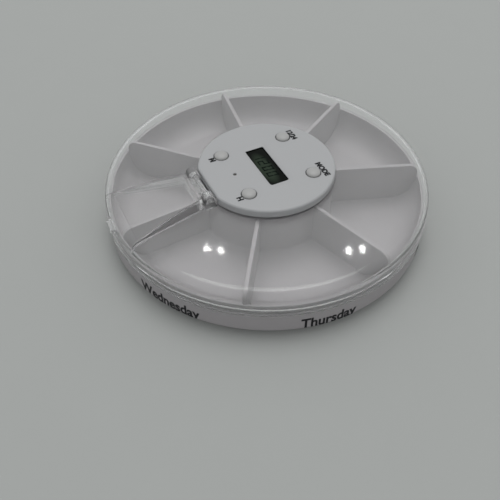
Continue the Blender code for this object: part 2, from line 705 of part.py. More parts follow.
def make_display(glass, rubber):
    pane = block((-GLASS_X, -GLASS_Y, GLASS_UNDER), (GLASS_X, GLASS_Y, GLASS_TOP))
    place("lcd_glass", pane, glass, smooth=False)
    low = BOARD_TOP + GAP
    high = GLASS_UNDER - GAP
    near = GLASS_Y - GAP
    bar = block((-WINDOW_X, near - ZEBRA_WIDTH, low), (WINDOW_X, near, high))
    place("zebra_connector", bar, rubber, smooth=False)


def make_board_parts(black, steel):
    high = BOARD_UNDER - GAP
    blob = arc((0.0, high), 1.0, 0.0, -90.0, 5)
    profile = [(0.0, high)] + [(4.2 * x, high + 1.6 * (z - high)) for x, z in blob]
    place("chip_cover", turned(profile, 24, (-11.0, 10.0), closed=False), black)
    can = rod(1.0, -3.0, 3.0, steps=16)
    bmesh.ops.rotate(can, cent=(0, 0, 0), matrix=Matrix.Rotation(radians(90.0), 3, "Y"), verts=can.verts)
    bmesh.ops.translate(can, vec=(10.0, 11.5, high - 1.0), verts=can.verts)
    place("crystal_can", can, steel)


def make_buzzer(brass, ceramic):
    centre = (0.0, BUZZER_Y)
    high = PLATE_UNDER - GAP
    place("buzzer_plate", rod(BUZZER_RADIUS, high - BUZZER_PLATE, high, centre, ROUND_STEPS), brass)
    lower = high - BUZZER_PLATE - GAP
    place("buzzer_ceramic", rod(CERAMIC_RADIUS, lower - CERAMIC_PLATE, lower, centre, ROUND_STEPS), ceramic)


def button_profile():
    """Retaining flange, straight stem and domed cap."""
    high = PLATE_UNDER - GAP
    low = high - BUTTON_FLANGE_HEIGHT
    land = TIMER_TOP + BUTTON_LAND
    dome = BUTTON_RISE - BUTTON_LAND
    cap = [(BUTTON_RADIUS * cos(a), land + dome * sin(a)) for a in (radians(15 * i) for i in range(7))]
    cap[-1] = (0.0, TIMER_TOP + BUTTON_RISE)
    return [(0.0, low), (BUTTON_FLANGE, low), (BUTTON_FLANGE, high), (BUTTON_RADIUS, high)] + cap


def make_switch(name, point, black):
    """Square body turned towards the board's edge, with a round well for its plunger."""
    low = BOARD_TOP + GAP
    half = SWITCH_SIZE / 2
    body = block((-half, -half, low), (half, half, low + SWITCH_HEIGHT))
    facing = Vector(point).to_2d().angle_signed(Vector((1.0, 0.0)))
    bmesh.ops.rotate(body, cent=(0, 0, 0), matrix=Matrix.Rotation(facing, 3, "Z"), verts=body.verts)
    bmesh.ops.translate(body, vec=(*point, 0.0), verts=body.verts)
    switch = place(name, body, black, smooth=False)
    well = rod(PLUNGER_RADIUS + GAP, low + 0.5, low + SWITCH_HEIGHT + 1.0, point)
    cut(switch, name + "_well", well)


def make_buttons(white, black, cream):
    under_button = PLATE_UNDER - GAP - BUTTON_FLANGE_HEIGHT
    plunger_top = under_button - GAP
    for name, point in BUTTONS.items():
        key = name.replace("button_", "")
        cap = place(name, turned(button_profile(), ROUND_STEPS, point, closed=False), white)
        set_origin(cap, (*point, under_button))
        make_switch("switch_" + key, point, black)
        plunger = rod(PLUNGER_RADIUS, plunger_top - PLUNGER_HEIGHT, plunger_top, point, 16)
        set_origin(place("plunger_" + key, plunger, cream), (*point, plunger_top))


def screw(name, point, head_low, length, steel):
    """Pan-headed screw driven upwards, with a cross recess."""
    top = head_low + SCREW_HEAD_HEIGHT
    edge = 0.4
    profile = [(0.0, head_low), (SCREW_HEAD - edge, head_low), (SCREW_HEAD, head_low + edge)]
    profile += [(SCREW_HEAD, top)]
    profile += [(SCREW_SHANK, top), (SCREW_SHANK, top + length - 0.5), (0.0, top + length)]
    made = place(name, turned(profile, 16, point, closed=False), steel)
    x, y = point
    arm, thin = 1.1, 0.25
    cross = [(arm, thin), (thin, thin), (thin, arm), (-thin, arm), (-thin, thin), (-arm, thin)]
    cross += [(-a, -b) for a, b in cross]
    recess = prism([(x + a, y + b, head_low - 0.5) for a, b in cross], (0.0, 0.0, 1.1))
    cut(made, name + "_recess", recess)


def make_screws(steel):
    for i, point in enumerate(screw_points()):
        length = BOARD_TOP - 0.8 - (MODULE_BOTTOM + GAP + SCREW_HEAD_HEIGHT)
        screw(f"case_screw_{i + 1}", point, MODULE_BOTTOM + GAP, length, steel)
    for i, point in enumerate(board_screw_points()):
        head_low = BOARD_UNDER - GAP - SCREW_HEAD_HEIGHT
        screw(f"board_screw_{i + 1}", point, head_low, PLATE_UNDER - 1.6 - BOARD_UNDER, steel)


def main():
    clear_scene()
    white = material("white_plastic", (0.80, 0.78, 0.79), 0.35)
    timer_white = material("timer_white", (0.83, 0.84, 0.84), 0.4)
    clear = material("clear_plastic", (0.85, 0.87, 0.86), 0.08, transmission=0.9)
    steel = material("steel", (0.62, 0.62, 0.62), 0.3, 1.0)
    spring = material("spring_steel", (0.68, 0.66, 0.62), 0.3, 1.0)
    make_tray(white)
    make_cover(clear)
    make_flap(clear)
    make_front_case(timer_white)
    make_back_case(timer_white)
    make_battery_door(timer_white)
    make_cell(steel)
    make_contacts(spring)
    make_board(material("board_green", (0.03, 0.20, 0.09), 0.45))
    glass = material("display_glass", (0.05, 0.07, 0.05), 0.1)
    make_display(glass, material("zebra", (0.08, 0.08, 0.09), 0.7))
    make_board_parts(material("epoxy", (0.02, 0.02, 0.02), 0.4), steel)
    ceramic = material("ceramic", (0.82, 0.80, 0.74), 0.5)
    make_buzzer(material("brass", (0.70, 0.52, 0.22), 0.3, 1.0), ceramic)
    black = material("switch_black", (0.03, 0.03, 0.03), 0.5)
    make_buttons(timer_white, black, material("cream", (0.80, 0.76, 0.66), 0.5))
    make_screws(steel)


main()
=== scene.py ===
import bmesh
import bpy
from math import cos, pi, radians, sin
from mathutils import Matrix, Vector


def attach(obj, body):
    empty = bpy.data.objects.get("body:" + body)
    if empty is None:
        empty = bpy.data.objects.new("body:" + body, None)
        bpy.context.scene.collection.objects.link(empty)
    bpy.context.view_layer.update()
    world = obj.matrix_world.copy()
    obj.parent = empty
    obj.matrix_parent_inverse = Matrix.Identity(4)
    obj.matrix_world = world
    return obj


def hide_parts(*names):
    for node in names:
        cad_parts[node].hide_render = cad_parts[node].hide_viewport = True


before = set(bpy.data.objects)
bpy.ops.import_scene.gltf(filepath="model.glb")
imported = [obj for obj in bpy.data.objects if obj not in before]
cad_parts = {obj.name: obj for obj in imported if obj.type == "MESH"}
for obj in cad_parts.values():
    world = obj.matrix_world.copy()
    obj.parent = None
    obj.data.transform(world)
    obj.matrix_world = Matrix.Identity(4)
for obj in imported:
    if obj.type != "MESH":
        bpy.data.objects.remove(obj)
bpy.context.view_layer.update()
mm = 0.001
scene = bpy.context.scene


# small helpers

def report(text):
    print("pill dispenser:", text)


# shape is in millimetres
def finish(name, shape, body, materials, autoSmooth=35.0, replaced=()):
    bmesh.ops.remove_doubles(shape, verts=shape.verts, dist=0.0005)
    bmesh.ops.recalc_face_normals(shape, faces=shape.faces)
    bmesh.ops.scale(shape, vec=(mm, mm, mm), verts=shape.verts)
    mesh = bpy.data.meshes.new(name)
    shape.to_mesh(mesh)
    shape.free()
    mesh.shade_smooth()
    mesh.set_sharp_from_angle(angle=radians(autoSmooth))
    piece = bpy.data.objects.new(name, mesh)
    scene.collection.objects.link(piece)
    for item in materials:
        mesh.materials.append(item)
    even = piece.modifiers.new("evenNormals", "WEIGHTED_NORMAL")  # keeps flat faces flat beside small roundings
    even.keep_sharp = True
    even.weight = 60
    register(piece, body, replaced)
    return piece


def register(piece, body, replaced):
    if body:
        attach(piece, body)
    if replaced:
        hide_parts(*replaced)


# round the corners of an outline
def roundCorners(shape, verts, radius, segments):
    bmesh.ops.bevel(shape, geom=verts, offset=radius, offset_type="OFFSET", segments=segments,
                    profile=0.5, affect="VERTICES", material=-1)


# an outline of (radius, height, rounding) corners in the XZ plane
def outline(points, closed):
    shape = bmesh.new()
    verts = [shape.verts.new((x, 0.0, z)) for x, z, _ in points]
    for first, second in zip(verts, verts[1:]):
        shape.edges.new((first, second))
    if closed:
        shape.edges.new((verts[-1], verts[0]))
    for rounding in sorted({p[2] for p in points if p[2] > 0}):
        chosen = [v for v, p in zip(verts, points) if p[2] == rounding]
        roundCorners(shape, chosen, rounding, 2 if rounding < 0.35 else (4 if rounding < 1.5 else 12))
    return shape


def turned(points, steps, closed=True, centre=(0.0, 0.0)):
    shape = outline(points, closed)
    bmesh.ops.spin(shape, geom=shape.verts[:] + shape.edges[:], cent=(0, 0, 0), axis=(0, 0, 1),
                   angle=2 * pi, steps=steps, use_merge=True)
    bmesh.ops.remove_doubles(shape, verts=shape.verts, dist=0.0005)
    bmesh.ops.translate(shape, vec=(*centre, 0.0), verts=shape.verts)
    return shape


def box(low, high):
    shape = bmesh.new()
    bmesh.ops.create_cube(shape, size=1.0)
    bmesh.ops.scale(shape, vec=[b - a for a, b in zip(low, high)], verts=shape.verts)
    bmesh.ops.translate(shape, vec=[(a + b) / 2 for a, b in zip(low, high)], verts=shape.verts)
    return shape


def rod(radius, low, high, centre=(0.0, 0.0), steps=32, along="Z"):
    shape = bmesh.new()
    bmesh.ops.create_cone(shape, cap_ends=True, segments=steps, radius1=radius, radius2=radius, depth=high - low)
    bmesh.ops.translate(shape, vec=(0, 0, (low + high) / 2), verts=shape.verts)
    if along == "X":
        bmesh.ops.rotate(shape, cent=(0, 0, 0), matrix=Matrix.Rotation(radians(90), 3, "Y"), verts=shape.verts)
        bmesh.ops.translate(shape, vec=(0.0, centre[0], centre[1]), verts=shape.verts)
    else:
        bmesh.ops.translate(shape, vec=(*centre, 0.0), verts=shape.verts)
    return shape


# a plan outline pulled up into a solid
def slab(plan, low, height):
    shape = bmesh.new()
    face = shape.faces.new([shape.verts.new((x, y, low)) for x, y in plan])
    pulled = bmesh.ops.extrude_face_region(shape, geom=[face])
    verts = [item for item in pulled["geom"] if isinstance(item, bmesh.types.BMVert)]
    bmesh.ops.translate(shape, vec=(0, 0, height), verts=verts)
    return shape


def together(shapes):
    joined = bmesh.new()
    for shape in shapes:
        mesh = bpy.data.meshes.new("part")
        shape.to_mesh(mesh)
        shape.free()
        joined.from_mesh(mesh)
        bpy.data.meshes.remove(mesh)
    return joined


def asObject(shape):
    bmesh.ops.remove_doubles(shape, verts=shape.verts, dist=0.0005)
    bmesh.ops.recalc_face_normals(shape, faces=shape.faces)
    mesh = bpy.data.meshes.new("solid")
    shape.to_mesh(mesh)
    shape.free()
    made = bpy.data.objects.new("solid", mesh)
    scene.collection.objects.link(made)
    return made


# apply (operation, tool shape) pairs in turn and hand back one bmesh
def carve(shape, steps):
    target = asObject(shape)
    tools = []
    for operation, tool in steps:
        cutter = asObject(tool)
        tools.append(cutter)
        change = target.modifiers.new(operation, "BOOLEAN")
        change.operation = operation
        change.solver = "EXACT"
        change.object = cutter
    bpy.context.view_layer.update()
    graph = bpy.context.evaluated_depsgraph_get()
    mesh = bpy.data.meshes.new_from_object(target.evaluated_get(graph))
    result = bmesh.new()
    result.from_mesh(mesh)
    bpy.data.meshes.remove(mesh)
    for old in [target] + tools:
        data = old.data
        bpy.data.objects.remove(old)
        bpy.data.meshes.remove(data)
    return result


def polar(radius, angle):
    return radius * cos(radians(angle)), radius * sin(radians(angle))


# shader groups and materials

def newGroup(name, inputs, outputs):
    group = bpy.data.node_groups.new(name, "ShaderNodeTree")
    for label, kind, value in inputs:
        socket = group.interface.new_socket(name=label, in_out="INPUT", socket_type=kind)
        if value is not None:
            socket.default_value = value
    for label, kind in outputs:
        group.interface.new_socket(name=label, in_out="OUTPUT", socket_type=kind)
    return group, group.nodes.new("NodeGroupInput"), group.nodes.new("NodeGroupOutput")


# faint moulding texture: colour drift, scuffs in the gloss, fine grain in the height
def makeMouldedGroup():
    group, inn, out = newGroup(
        "mouldedPlastic",
        [("Colour", "NodeSocketColor", (0.5, 0.5, 0.5, 1)), ("Drift", "NodeSocketFloat", 0.04),
         ("Roughness", "NodeSocketFloat", 0.4), ("Scuff", "NodeSocketFloat", 0.1),
         ("Grain Scale", "NodeSocketFloat", 2500.0), ("Grain", "NodeSocketFloat", 0.1)],
        [("Colour", "NodeSocketColor"), ("Roughness", "NodeSocketFloat"), ("Normal", "NodeSocketVector")])
    nodes, links = group.nodes, group.links
    place = nodes.new("ShaderNodeTexCoord")
    cloud = nodes.new("ShaderNodeTexNoise")
    cloud.inputs["Scale"].default_value = 42.0
    cloud.inputs["Detail"].default_value = 4.0
    links.new(place.outputs["Object"], cloud.inputs["Vector"])
    spread = nodes.new("ShaderNodeMath")
    spread.operation = "MULTIPLY_ADD"
    centre = nodes.new("ShaderNodeMath")
    centre.operation = "SUBTRACT"
    centre.inputs[1].default_value = 0.5
    links.new(cloud.outputs["Fac"], centre.inputs[0])
    links.new(centre.outputs[0], spread.inputs[0])
    links.new(inn.outputs["Drift"], spread.inputs[1])
    spread.inputs[2].default_value = 1.0
    tint = nodes.new("ShaderNodeVectorMath")
    tint.operation = "SCALE"
    links.new(inn.outputs["Colour"], tint.inputs[0])
    links.new(spread.outputs[0], tint.inputs["Scale"])
    links.new(tint.outputs[0], out.inputs["Colour"])
    scuff = nodes.new("ShaderNodeTexNoise")
    scuff.inputs["Scale"].default_value = 310.0
    scuff.inputs["Detail"].default_value = 6.0
    scuff.inputs["Distortion"].default_value = 1.2
    links.new(place.outputs["Object"], scuff.inputs["Vector"])
    rough = nodes.new("ShaderNodeMath")
    rough.operation = "MULTIPLY_ADD"
    links.new(scuff.outputs["Fac"], rough.inputs[0])
    links.new(inn.outputs["Scuff"], rough.inputs[1])
    links.new(inn.outputs["Roughness"], rough.inputs[2])
    links.new(rough.outputs[0], out.inputs["Roughness"])
    grain = nodes.new("ShaderNodeTexNoise")
    grain.inputs["Detail"].default_value = 2.0
    links.new(place.outputs["Object"], grain.inputs["Vector"])
    links.new(inn.outputs["Grain Scale"], grain.inputs["Scale"])
    bump = nodes.new("ShaderNodeBump")
    bump.inputs["Distance"].default_value = 0.00004
    links.new(inn.outputs["Grain"], bump.inputs["Strength"])
    links.new(grain.outputs["Fac"], bump.inputs["Height"])
    links.new(bump.outputs["Normal"], out.inputs["Normal"])
    return group


mouldedGroup = makeMouldedGroup()


def plastic(name, colour, roughness=0.4, drift=0.04, scuff=0.1, grain=0.12, grainScale=2500.0,
            metallic=0.0, coat=0.0, specular=0.5):
    made = bpy.data.materials.new(name)
    made.use_nodes = True
    nodes, links = made.node_tree.nodes, made.node_tree.links
    shader = nodes["Principled BSDF"]
    group = nodes.new("ShaderNodeGroup")
    group.node_tree = mouldedGroup
    group.inputs["Colour"].default_value = (*colour, 1.0)
    group.inputs["Drift"].default_value = drift
    group.inputs["Roughness"].default_value = roughness - scuff / 2
    group.inputs["Scuff"].default_value = scuff
    group.inputs["Grain Scale"].default_value = grainScale
    group.inputs["Grain"].default_value = grain
    links.new(group.outputs["Colour"], shader.inputs["Base Color"])
    links.new(group.outputs["Roughness"], shader.inputs["Roughness"])
    links.new(group.outputs["Normal"], shader.inputs["Normal"])
    shader.inputs["Metallic"].default_value = metallic
    shader.inputs["Coat Weight"].default_value = coat
    shader.inputs["Specular IOR Level"].default_value = specular
    return made


# clear styrene: lets the lamps' light through to the tray
def clearPlastic(name, colour, roughness):
    made = bpy.data.materials.new(name)
    made.use_nodes = True
    nodes, links = made.node_tree.nodes, made.node_tree.links
    shader = nodes["Principled BSDF"]
    output = nodes["Material Output"]
    group = nodes.new("ShaderNodeGroup")
    group.node_tree = mouldedGroup
    group.inputs["Colour"].default_value = (*colour, 1.0)
    group.inputs["Drift"].default_value = 0.01
    group.inputs["Roughness"].default_value = roughness
    group.inputs["Scuff"].default_value = 0.03
    group.inputs["Grain Scale"].default_value = 400.0
    group.inputs["Grain"].default_value = 0.003
    links.new(group.outputs["Colour"], shader.inputs["Base Color"])
    links.new(group.outputs["Roughness"], shader.inputs["Roughness"])
    links.new(group.outputs["Normal"], shader.inputs["Normal"])
    shader.inputs["IOR"].default_value = 1.42
    shader.inputs["Transmission Weight"].default_value = 0.91
    through = nodes.new("ShaderNodeBsdfTransparent")
    through.inputs["Color"].default_value = (0.93, 0.93, 0.93, 1.0)
    path = nodes.new("ShaderNodeLightPath")
    mix = nodes.new("ShaderNodeMixShader")
    links.new(path.outputs["Is Shadow Ray"], mix.inputs["Fac"])
    links.new(shader.outputs["BSDF"], mix.inputs[1])
    links.new(through.outputs["BSDF"], mix.inputs[2])
    links.new(mix.outputs["Shader"], output.inputs["Surface"])
    return made


colours = {
    "tray": (0.345, 0.327, 0.338),
    "timer": (0.405, 0.407, 0.415),
    "button": (0.40, 0.397, 0.393),
    "clear": (0.965, 0.968, 0.968),
    "ink": (0.012, 0.012, 0.014),
}
trayWhite = plastic("trayWhite", colours["tray"], roughness=0.42, scuff=0.1, grain=0.05, specular=0.35)
timerWhite = plastic("timerWhite", colours["timer"], roughness=0.5, drift=0.03, grain=0.22, grainScale=3200.0)
buttonWhite = plastic("buttonWhite", colours["button"], roughness=0.42, drift=0.03, grain=0.1)
inkBlack = plastic("inkBlack", colours["ink"], roughness=0.45, drift=0.2, grain=0.1, specular=0.15)
segmentInk = plastic("segmentInk", (0.004, 0.008, 0.006), roughness=0.5, drift=0.1, grain=0.0, specular=0.02)
coverClear = clearPlastic("coverClear", colours["clear"], 0.03)
report("materials made")


# tray

tray = {
    "radius": 64.5, "footInset": 3.0, "footRise": 3.4, "footWall": 1.6, "bandTop": 11.4, "bandWall": 2.2,
    "rimRadius": 63.2, "rimTop": 14.0, "rimWall": 1.1, "wallTop": 15.9, "wallStep": 0.2,
    "floorTop": 3.9, "floorThickness": 1.8, "scoop": 10.0,
    "hubRadius": 26.8, "hubBore": 25.6, "hubTop": 20.8,
    "dividerTop": 20.7, "dividerThickness": 1.6, "dividerCorner": 4.0,
    "firstDivider": -33.8, "compartments": 7, "steps": 192,
}


def divider(angle):
    t = tray
    outer = t["rimRadius"] - 0.8
    low = t["floorTop"] - t["floorThickness"] / 2
    inner = t["hubBore"] + 0.6
    points = [(inner, low, 0.0), (outer, low, t["scoop"] - 0.9),
              (outer, t["dividerTop"], t["dividerCorner"]), (inner, t["dividerTop"], 0.0)]
    shape = outline(points, True)
    bmesh.ops.contextual_create(shape, geom=shape.edges[:])
    half = t["dividerThickness"] / 2
    bmesh.ops.translate(shape, vec=(0, -half, 0), verts=shape.verts)
    pulled = bmesh.ops.extrude_face_region(shape, geom=shape.faces[:])
    verts = [item for item in pulled["geom"] if isinstance(item, bmesh.types.BMVert)]
    bmesh.ops.translate(shape, vec=(0, 2 * half, 0), verts=verts)
    topEdges = []
    for edge in shape.edges:
        a, b = (v.co for v in edge.verts)
        along = abs(a.y - b.y) < 0.01
        if along and min(a.z, b.z) > t["floorTop"] + t["scoop"] and max(a.x, b.x) > inner + 0.1:
            topEdges.append(edge)
    bmesh.ops.bevel(shape, geom=topEdges, offset=0.3, offset_type="OFFSET", segments=3, profile=0.5,
                    affect="EDGES", material=-1)
    bmesh.ops.rotate(shape, cent=(0, 0, 0), matrix=Matrix.Rotation(radians(angle), 3, "Z"), verts=shape.verts)
    return shape


def makeTray():
    t = tray
    rimInner = t["rimRadius"] - t["rimWall"]
    skin = t["radius"] - t["bandWall"]
    foot = t["radius"] - t["footInset"]
    wall = t["rimRadius"] - t["wallStep"]
    under = t["floorTop"] - t["floorThickness"]
    bead = (t["bandTop"] + t["rimTop"]) / 2
    profile = [
        (0.0, under, 0.0), (rimInner + 1.1, under, 0.0), (skin - 0.05, under + 1.2, 0.0),
        (skin, t["footRise"] + 0.4, 0.0), (foot - t["footWall"], 0.0, 0.3), (foot, 0.0, 0.3),
        (t["radius"], t["footRise"], 0.6), (t["radius"], t["bandTop"], 0.25),
        (t["rimRadius"], t["bandTop"], 0.0), (t["rimRadius"], bead - 0.6, 0.0),
        (t["rimRadius"] - 0.6, bead - 0.6, 0.0), (t["rimRadius"] - 0.6, bead + 0.6, 0.0),
        (t["rimRadius"], bead + 0.6, 0.0), (t["rimRadius"], t["rimTop"], 0.2), (wall, t["rimTop"], 0.2),
        (wall, t["wallTop"], 0.3), (rimInner, t["wallTop"], 0.3),
        (rimInner, t["floorTop"], t["scoop"] - 0.5), (t["hubRadius"], t["floorTop"], 1.0),
        (t["hubRadius"], t["hubTop"], 0.3), (t["hubBore"], t["hubTop"], 0.25),
        (t["hubBore"], t["floorTop"], 0.6), (0.0, t["floorTop"], 0.0),
    ]
    walls = [divider(t["firstDivider"] + 360.0 / t["compartments"] * i) for i in range(t["compartments"])]
    shape = carve(turned(profile, t["steps"], closed=False), [("UNION", together(walls))])
    finish("trayShell", shape, "tray", [trayWhite], 32.0, ("tray",))


makeTray()
report("tray made")


# cover

cover = {
    "radius": 65.0, "side": 64.5, "top": 22.4, "wall": 1.3, "skirtTop": 15.2, "skirtLow": 11.8,
    "shoulder": 4.0, "collar": 25.3, "collarBore": 24.4, "collarLow": 17.0,
    "ledge": 14.4, "steps": 192,
}
flap = {
    "innerY": -31.3, "outerY": -60.0, "innerX": 8.4, "outerX": 14.9, "fit": 0.4, "plate": 1.2, "wall": 1.1,
    "rise": 4.2, "endZ": 19.2, "tabX": 3.2, "tabReach": 1.5, "tabThickness": 1.3,
    "axisY": -28.3, "axisZ": 25.0, "barrel": 1.2, "barrelX": 4.8, "earLength": 5.0, "earRadius": 2.2,
    "pin": 0.65, "pinLength": 2.2,
}


def flapPlan(grow, reach):
    f = flap
    slope = (f["outerX"] - f["innerX"]) / (f["innerY"] - f["outerY"])
    innerY = f["innerY"] + grow
    innerX = f["innerX"] + grow - slope * grow
    outerX = innerX + slope * (innerY + reach)
    return [(-innerX, innerY), (innerX, innerY), (outerX, -reach), (-outerX, -reach)]


def makeCover():
    c, f = cover, flap
    skirtInner = c["side"] - c["wall"] + 0.3
    sideInner = c["side"] - c["wall"]
    under = c["top"] - c["wall"]
    profile = [
        (c["collarBore"], c["collarLow"], 0.2), (c["collarBore"], c["top"], 0.25),
        (c["side"], c["top"], c["shoulder"]), (c["side"], c["skirtTop"], 0.0),
        (c["radius"], c["skirtTop"], 0.3), (c["radius"], c["skirtLow"], 0.25),
        (skirtInner, c["skirtLow"], 0.2), (skirtInner, c["ledge"], 0.0),
        (sideInner, c["ledge"] + 0.3, 0.0), (sideInner, under, c["shoulder"] - c["wall"]),
        (c["collar"], under, 0.3), (c["collar"], c["collarLow"], 0.2),
    ]
    opening = slab(flapPlan(f["fit"], c["radius"] + 5.0), f["endZ"] - f["fit"], 10.0)
    ears = []
    holes = []
    for side in (-1, 1):
        near = f["barrelX"] + f["fit"]
        ears.append(earBlock(side * near, side * f["earLength"]))
        low, high = sorted((side * (near - 0.5), side * (near + 0.5 + f["pinLength"])))
        holes.append(rod(f["pin"] + 0.3, low, high, (f["axisY"], f["axisZ"]), 24, "X"))
    steps = [("DIFFERENCE", opening), ("UNION", together(ears)), ("DIFFERENCE", together(holes))]
    shape = carve(turned(profile, c["steps"]), steps)
    finish("coverShell", shape, "cover", [coverClear], 32.0, ("cover",))


# round-topped lug that carries one hinge pin
def earBlock(start, length):
    f = flap
    radius = f["earRadius"]
    low = cover["top"] - cover["wall"] / 2
    points = [(f["axisY"] - radius, low, 0.0), (f["axisY"] - radius, f["axisZ"] + radius, radius - 0.02),
              (f["axisY"] + radius, f["axisZ"] + radius, radius - 0.02), (f["axisY"] + radius, low, 0.0)]
    shape = outline(points, True)
    bmesh.ops.contextual_create(shape, geom=shape.edges[:])
    bmesh.ops.rotate(shape, cent=(0, 0, 0), matrix=Matrix.Rotation(radians(90), 3, "Z"), verts=shape.verts)
    bmesh.ops.translate(shape, vec=(start, 0, 0), verts=shape.verts)
    pulled = bmesh.ops.extrude_face_region(shape, geom=shape.faces[:])
    verts = [item for item in pulled["geom"] if isinstance(item, bmesh.types.BMVert)]
    bmesh.ops.translate(shape, vec=(length, 0, 0), verts=verts)
    return shape


def flapTop(y):
    f = flap
    share = (y - f["outerY"]) / (f["innerY"] - f["outerY"])
    return cover["top"] + f["rise"] * (1.0 - (1.0 - share) ** 2)


# full round of the cover's outer form, raised over the flap
def crownedForm(inset, low):
    c, f = cover, flap
    profile = [(0.0, low, 0.0), (c["side"] - inset, low, 0.0),
               (c["side"] - inset, c["top"] - inset, c["shoulder"] - inset)]
    count = 12
    for i in range(1, count + 1):
        y = f["outerY"] + (f["innerY"] - f["outerY"]) * i / count
        profile.append((-y, flapTop(y) - inset, 0.0))
    profile.append((0.0, flapTop(f["innerY"]) - inset, 0.0))
    return turned(profile, c["steps"], closed=False)


def makeFlap():
    c, f = cover, flap
    plan = flapPlan(0.0, c["radius"] + 2.0)
    innerPlan = flapPlan(-f["wall"], -f["outerY"] - 1.0)
    low = f["endZ"] - 1.0
    hollow = carve(slab(innerPlan, low, 12.0), [("INTERSECT", crownedForm(f["plate"], f["endZ"] - 5.0))])
    belowProfile = [(0.0, f["endZ"] - 3.0, 0.0), (c["side"] - c["wall"], f["endZ"] - 3.0, 0.0),
                    (c["side"] - c["wall"], c["top"] - c["wall"], c["shoulder"] - c["wall"]),
                    (0.0, c["top"] - c["wall"], 0.0)]
    axis = (f["axisY"], f["axisZ"])
    webTop = flapTop(f["innerY"])
    web = box((-f["barrelX"] + 0.15, f["innerY"] - 0.55, webTop - f["plate"]),
              (f["barrelX"] - 0.15, f["axisY"], webTop - 0.05))
    pinEnd = f["barrelX"] + f["fit"] + f["pinLength"]
    pins = together([rod(f["pin"], f["barrelX"] - 1.0, pinEnd, axis, 24, "X"),
                     rod(f["pin"], -pinEnd, -f["barrelX"] + 1.0, axis, 24, "X")])
    tabLow = f["endZ"] + 0.05
    tab = box((-f["tabX"], -c["side"] - f["tabReach"], tabLow),
              (f["tabX"], -c["side"] + 1.0, tabLow + f["tabThickness"]))
    upright = [e for e in tab.edges
               if abs(e.verts[0].co.z - e.verts[1].co.z) > 0.5 and e.verts[0].co.y < -c["side"]]
    bmesh.ops.bevel(tab, geom=upright, offset=0.9, offset_type="OFFSET", segments=4, profile=0.5,
                    affect="EDGES", material=-1)
    steps = [("INTERSECT", crownedForm(0.0, f["endZ"] - 5.0)), ("DIFFERENCE", hollow),
             ("DIFFERENCE", turned(belowProfile, c["steps"], closed=False)),
             ("UNION", rod(f["barrel"], -f["barrelX"], f["barrelX"], axis, 32, "X")),
             ("UNION", web), ("UNION", pins), ("UNION", tab)]
    shape = carve(slab(plan, f["endZ"], 12.0), steps)
    finish("flapShell", shape, "flap", [coverClear], 32.0, ("flap",))


makeCover()
makeFlap()
report("clear cover and flap made")


# timer

timer = {
    "top": 26.0, "flange": 27.3, "flangeHeight": 3.2, "flatY": -25.6, "edge": 0.9, "plate": 1.2,
    "case": 24.0, "bore": 22.7, "split": 13.3, "pocket": 24.6, "web": 1.0, "steps": 160,
    "windowX": 11.5, "windowY": 4.0, "dishX": 14.4, "dishY": 5.5, "dishDepth": 0.75,
    "glassX": 13.0, "glassY": 6.5, "glassSeat": 0.9, "glassTop": 24.85, "glassThickness": 1.6,
    "buttonX": 12.7, "buttonY": 14.0, "buttonRadius": 2.75, "buttonRise": 1.2, "buttonFlange": 3.35,
    "soundHole": 0.7, "soundY": -13.9,
}
buttonPoints = {
    "button_12_24": (-timer["buttonX"], timer["buttonY"]),
    "button_mode": (timer["buttonX"], timer["buttonY"]),
    "button_minute": (-timer["buttonX"], -timer["buttonY"]),
    "button_hour": (timer["buttonX"], -timer["buttonY"]),
}
caseScrews = [polar(18.6, angle) for angle in (90.0, 205.0, 335.0)]
boardScrews = [(-18.2, 0.0), (18.2, 0.0)]


# round plate with one straight side and a rounded top edge
def flangePlate():
    t = timer
    shape = bmesh.new()
    bmesh.ops.create_circle(shape, cap_ends=True, segments=t["steps"], radius=t["flange"])
    bmesh.ops.translate(shape, vec=(0, 0, t["top"] - t["flangeHeight"]), verts=shape.verts)
    bmesh.ops.bisect_plane(shape, geom=shape.verts[:] + shape.edges[:] + shape.faces[:],
                           plane_co=(0, t["flatY"], 0), plane_no=(0, -1, 0), clear_outer=True)
    pulled = bmesh.ops.extrude_face_region(shape, geom=shape.faces[:])
    verts = [item for item in pulled["geom"] if isinstance(item, bmesh.types.BMVert)]
    bmesh.ops.translate(shape, vec=(0, 0, t["flangeHeight"]), verts=verts)
    upper = [e for e in shape.edges if min(v.co.z for v in e.verts) > t["top"] - 0.01]
    bmesh.ops.bevel(shape, geom=upper, offset=t["edge"], offset_type="OFFSET", segments=5, profile=0.5,
                    affect="EDGES", material=-1)
    lower = [e for e in shape.edges if max(v.co.z for v in e.verts) < t["top"] - t["flangeHeight"] + 0.01]
    bmesh.ops.bevel(shape, geom=lower, offset=0.2, offset_type="OFFSET", segments=2, profile=0.5,
                    affect="EDGES", material=-1)
    return shape


